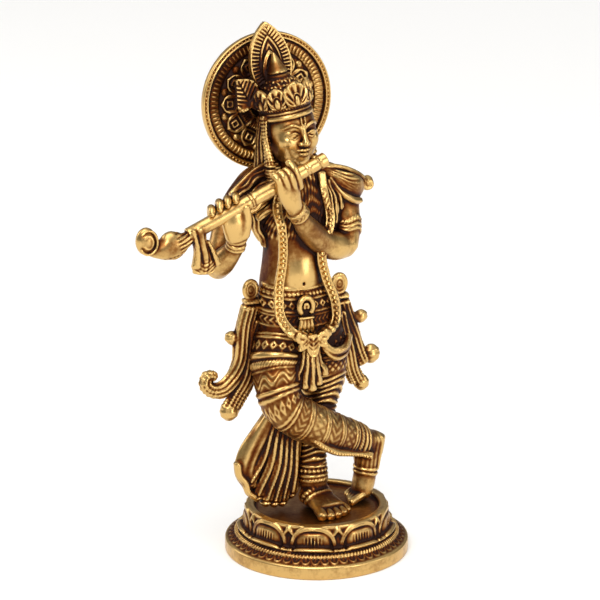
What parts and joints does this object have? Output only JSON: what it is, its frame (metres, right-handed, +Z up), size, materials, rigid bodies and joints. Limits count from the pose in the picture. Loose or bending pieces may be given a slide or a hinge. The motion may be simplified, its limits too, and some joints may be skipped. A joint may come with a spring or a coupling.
{
  "type": "krishna figure",
  "caption": "Cast brass figure of a crowned flute player standing with crossed legs on a round lotus plinth, with a round petalled halo behind its head.",
  "frame": {"origin": "centre of the plinth's underside", "axes": "+Z up, -Y the way the figure faces, -X the figure's own right side, where the flute points"},
  "size_m": [0.15, 0.091, 0.265],
  "materials": {
    "brass": "polished on the high places, dark brown patina in the recesses"
  },
  "bodies": {
    "root": {"plinth": "brass", "figure": "brass", "halo": "brass"}
  },
  "joints": []
}
